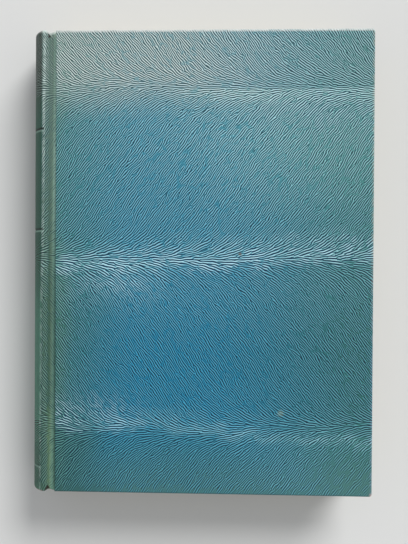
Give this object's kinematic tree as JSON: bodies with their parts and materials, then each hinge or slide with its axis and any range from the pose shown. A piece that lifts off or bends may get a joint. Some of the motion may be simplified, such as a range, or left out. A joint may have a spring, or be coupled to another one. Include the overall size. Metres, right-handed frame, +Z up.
{
  "type": "hardback book",
  "caption": "Closed case-bound book with a grained cloth cover, a rounded spine, grooved joints and two covers that open.",
  "frame": {"origin": "under the middle of the closed book, on the outer face of the back cover", "axes": "+X from the spine to the fore edge, +Y from tail to head, +Z up out of the front cover"},
  "size_m": [0.1604, 0.216, 0.0299],
  "materials": {
    "page_paper": "uncoated cream book paper, cut edges, slightly toned",
    "endpaper": "uncoated off-white endpaper, matt",
    "gauze": "open woven cotton gauze stiffened with glue",
    "lining_paper": "brown lining paper, matt",
    "headband_cotton": "woven cotton band with a beaded edge",
    "card": "thin flexible grey-brown card",
    "board": "dense grey-brown book board, matt",
    "bookcloth": "coated bookcloth embossed with a fine wavy grain, faded towards the edges"
  },
  "bodies": {
    "book_block": {"text_block": "page_paper", "front_flyleaf": "endpaper", "back_flyleaf": "endpaper", "mull": "gauze", "spine_lining": "lining_paper", "head_band": "headband_cotton", "tail_band": "headband_cotton", "spine_inlay": "card", "spine_cloth": "bookcloth"},
    "front_cover": {"front_board": "board", "front_cloth": "bookcloth", "front_mull_flange": "gauze", "front_pastedown": "endpaper"},
    "back_cover": {"back_board": "board", "back_cloth": "bookcloth", "back_mull_flange": "gauze", "back_pastedown": "endpaper"}
  },
  "joints": [
    {"name": "front_hinge", "type": "hinge", "parent": "book_block", "child": "front_cover", "pos_m": [-0.06917, 0, 0.03015], "axis": [0, -1, 0], "range_deg": [0, 180]},
    {"name": "back_hinge", "type": "hinge", "parent": "book_block", "child": "back_cover", "pos_m": [-0.06917, 0, -0.00025], "axis": [0, 1, 0], "range_deg": [0, 180]}
  ]
}
